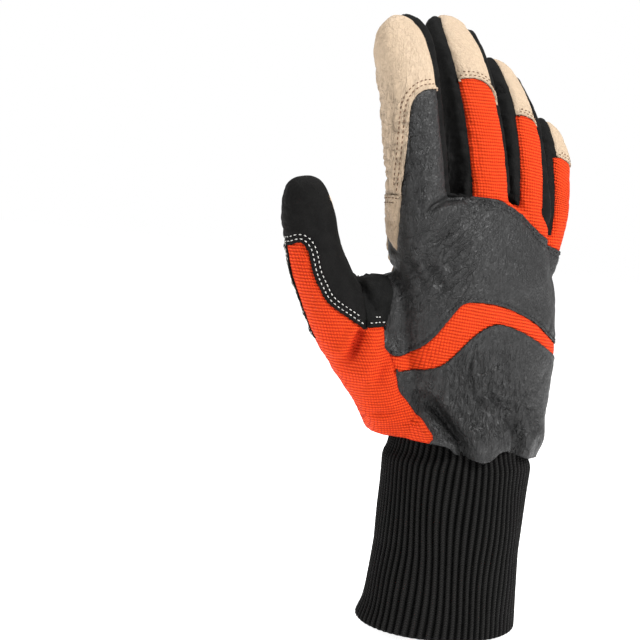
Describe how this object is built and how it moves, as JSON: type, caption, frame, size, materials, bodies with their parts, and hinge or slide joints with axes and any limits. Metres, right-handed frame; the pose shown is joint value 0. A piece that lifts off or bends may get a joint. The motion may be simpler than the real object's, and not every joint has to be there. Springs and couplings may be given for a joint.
{
  "type": "chainsaw glove",
  "caption": "Right-hand work glove with a cream leather palm, black leather and orange rib fabric back and a rib-knit cuff, standing as worn with its fingers up.",
  "frame": {"origin": "centre of the cuff's mouth, where the wrist goes in", "axes": "+Z from the cuff's mouth to the fingertips, -Y out of the back of the hand, -X to the thumb's side"},
  "size_m": [0.1677, 0.0657, 0.2899],
  "materials": {
    "cream_leather": "grained, matt",
    "black_leather": "grained, satin",
    "black_suede": "smooth, matt",
    "black_textile": "stretch knit, matt",
    "orange_fabric": "ribbed, matt",
    "black_knit": "rib knit, matt"
  },
  "bodies": {
    "root": {"knit_cuff": "black_knit", "palm_leather": "cream_leather", "palm_patch": "cream_leather", "thumb_front": "cream_leather", "back_upper": "black_leather", "back_lower": "black_leather", "back_wave": "orange_fabric", "knuckle_fabric": "orange_fabric", "side_index_middle": "black_textile", "side_middle_ring": "black_textile", "side_ring_little": "black_textile", "thumb_cover": "black_suede", "thumb_gusset": "black_textile", "thumb_side": "orange_fabric"}
  },
  "joints": []
}
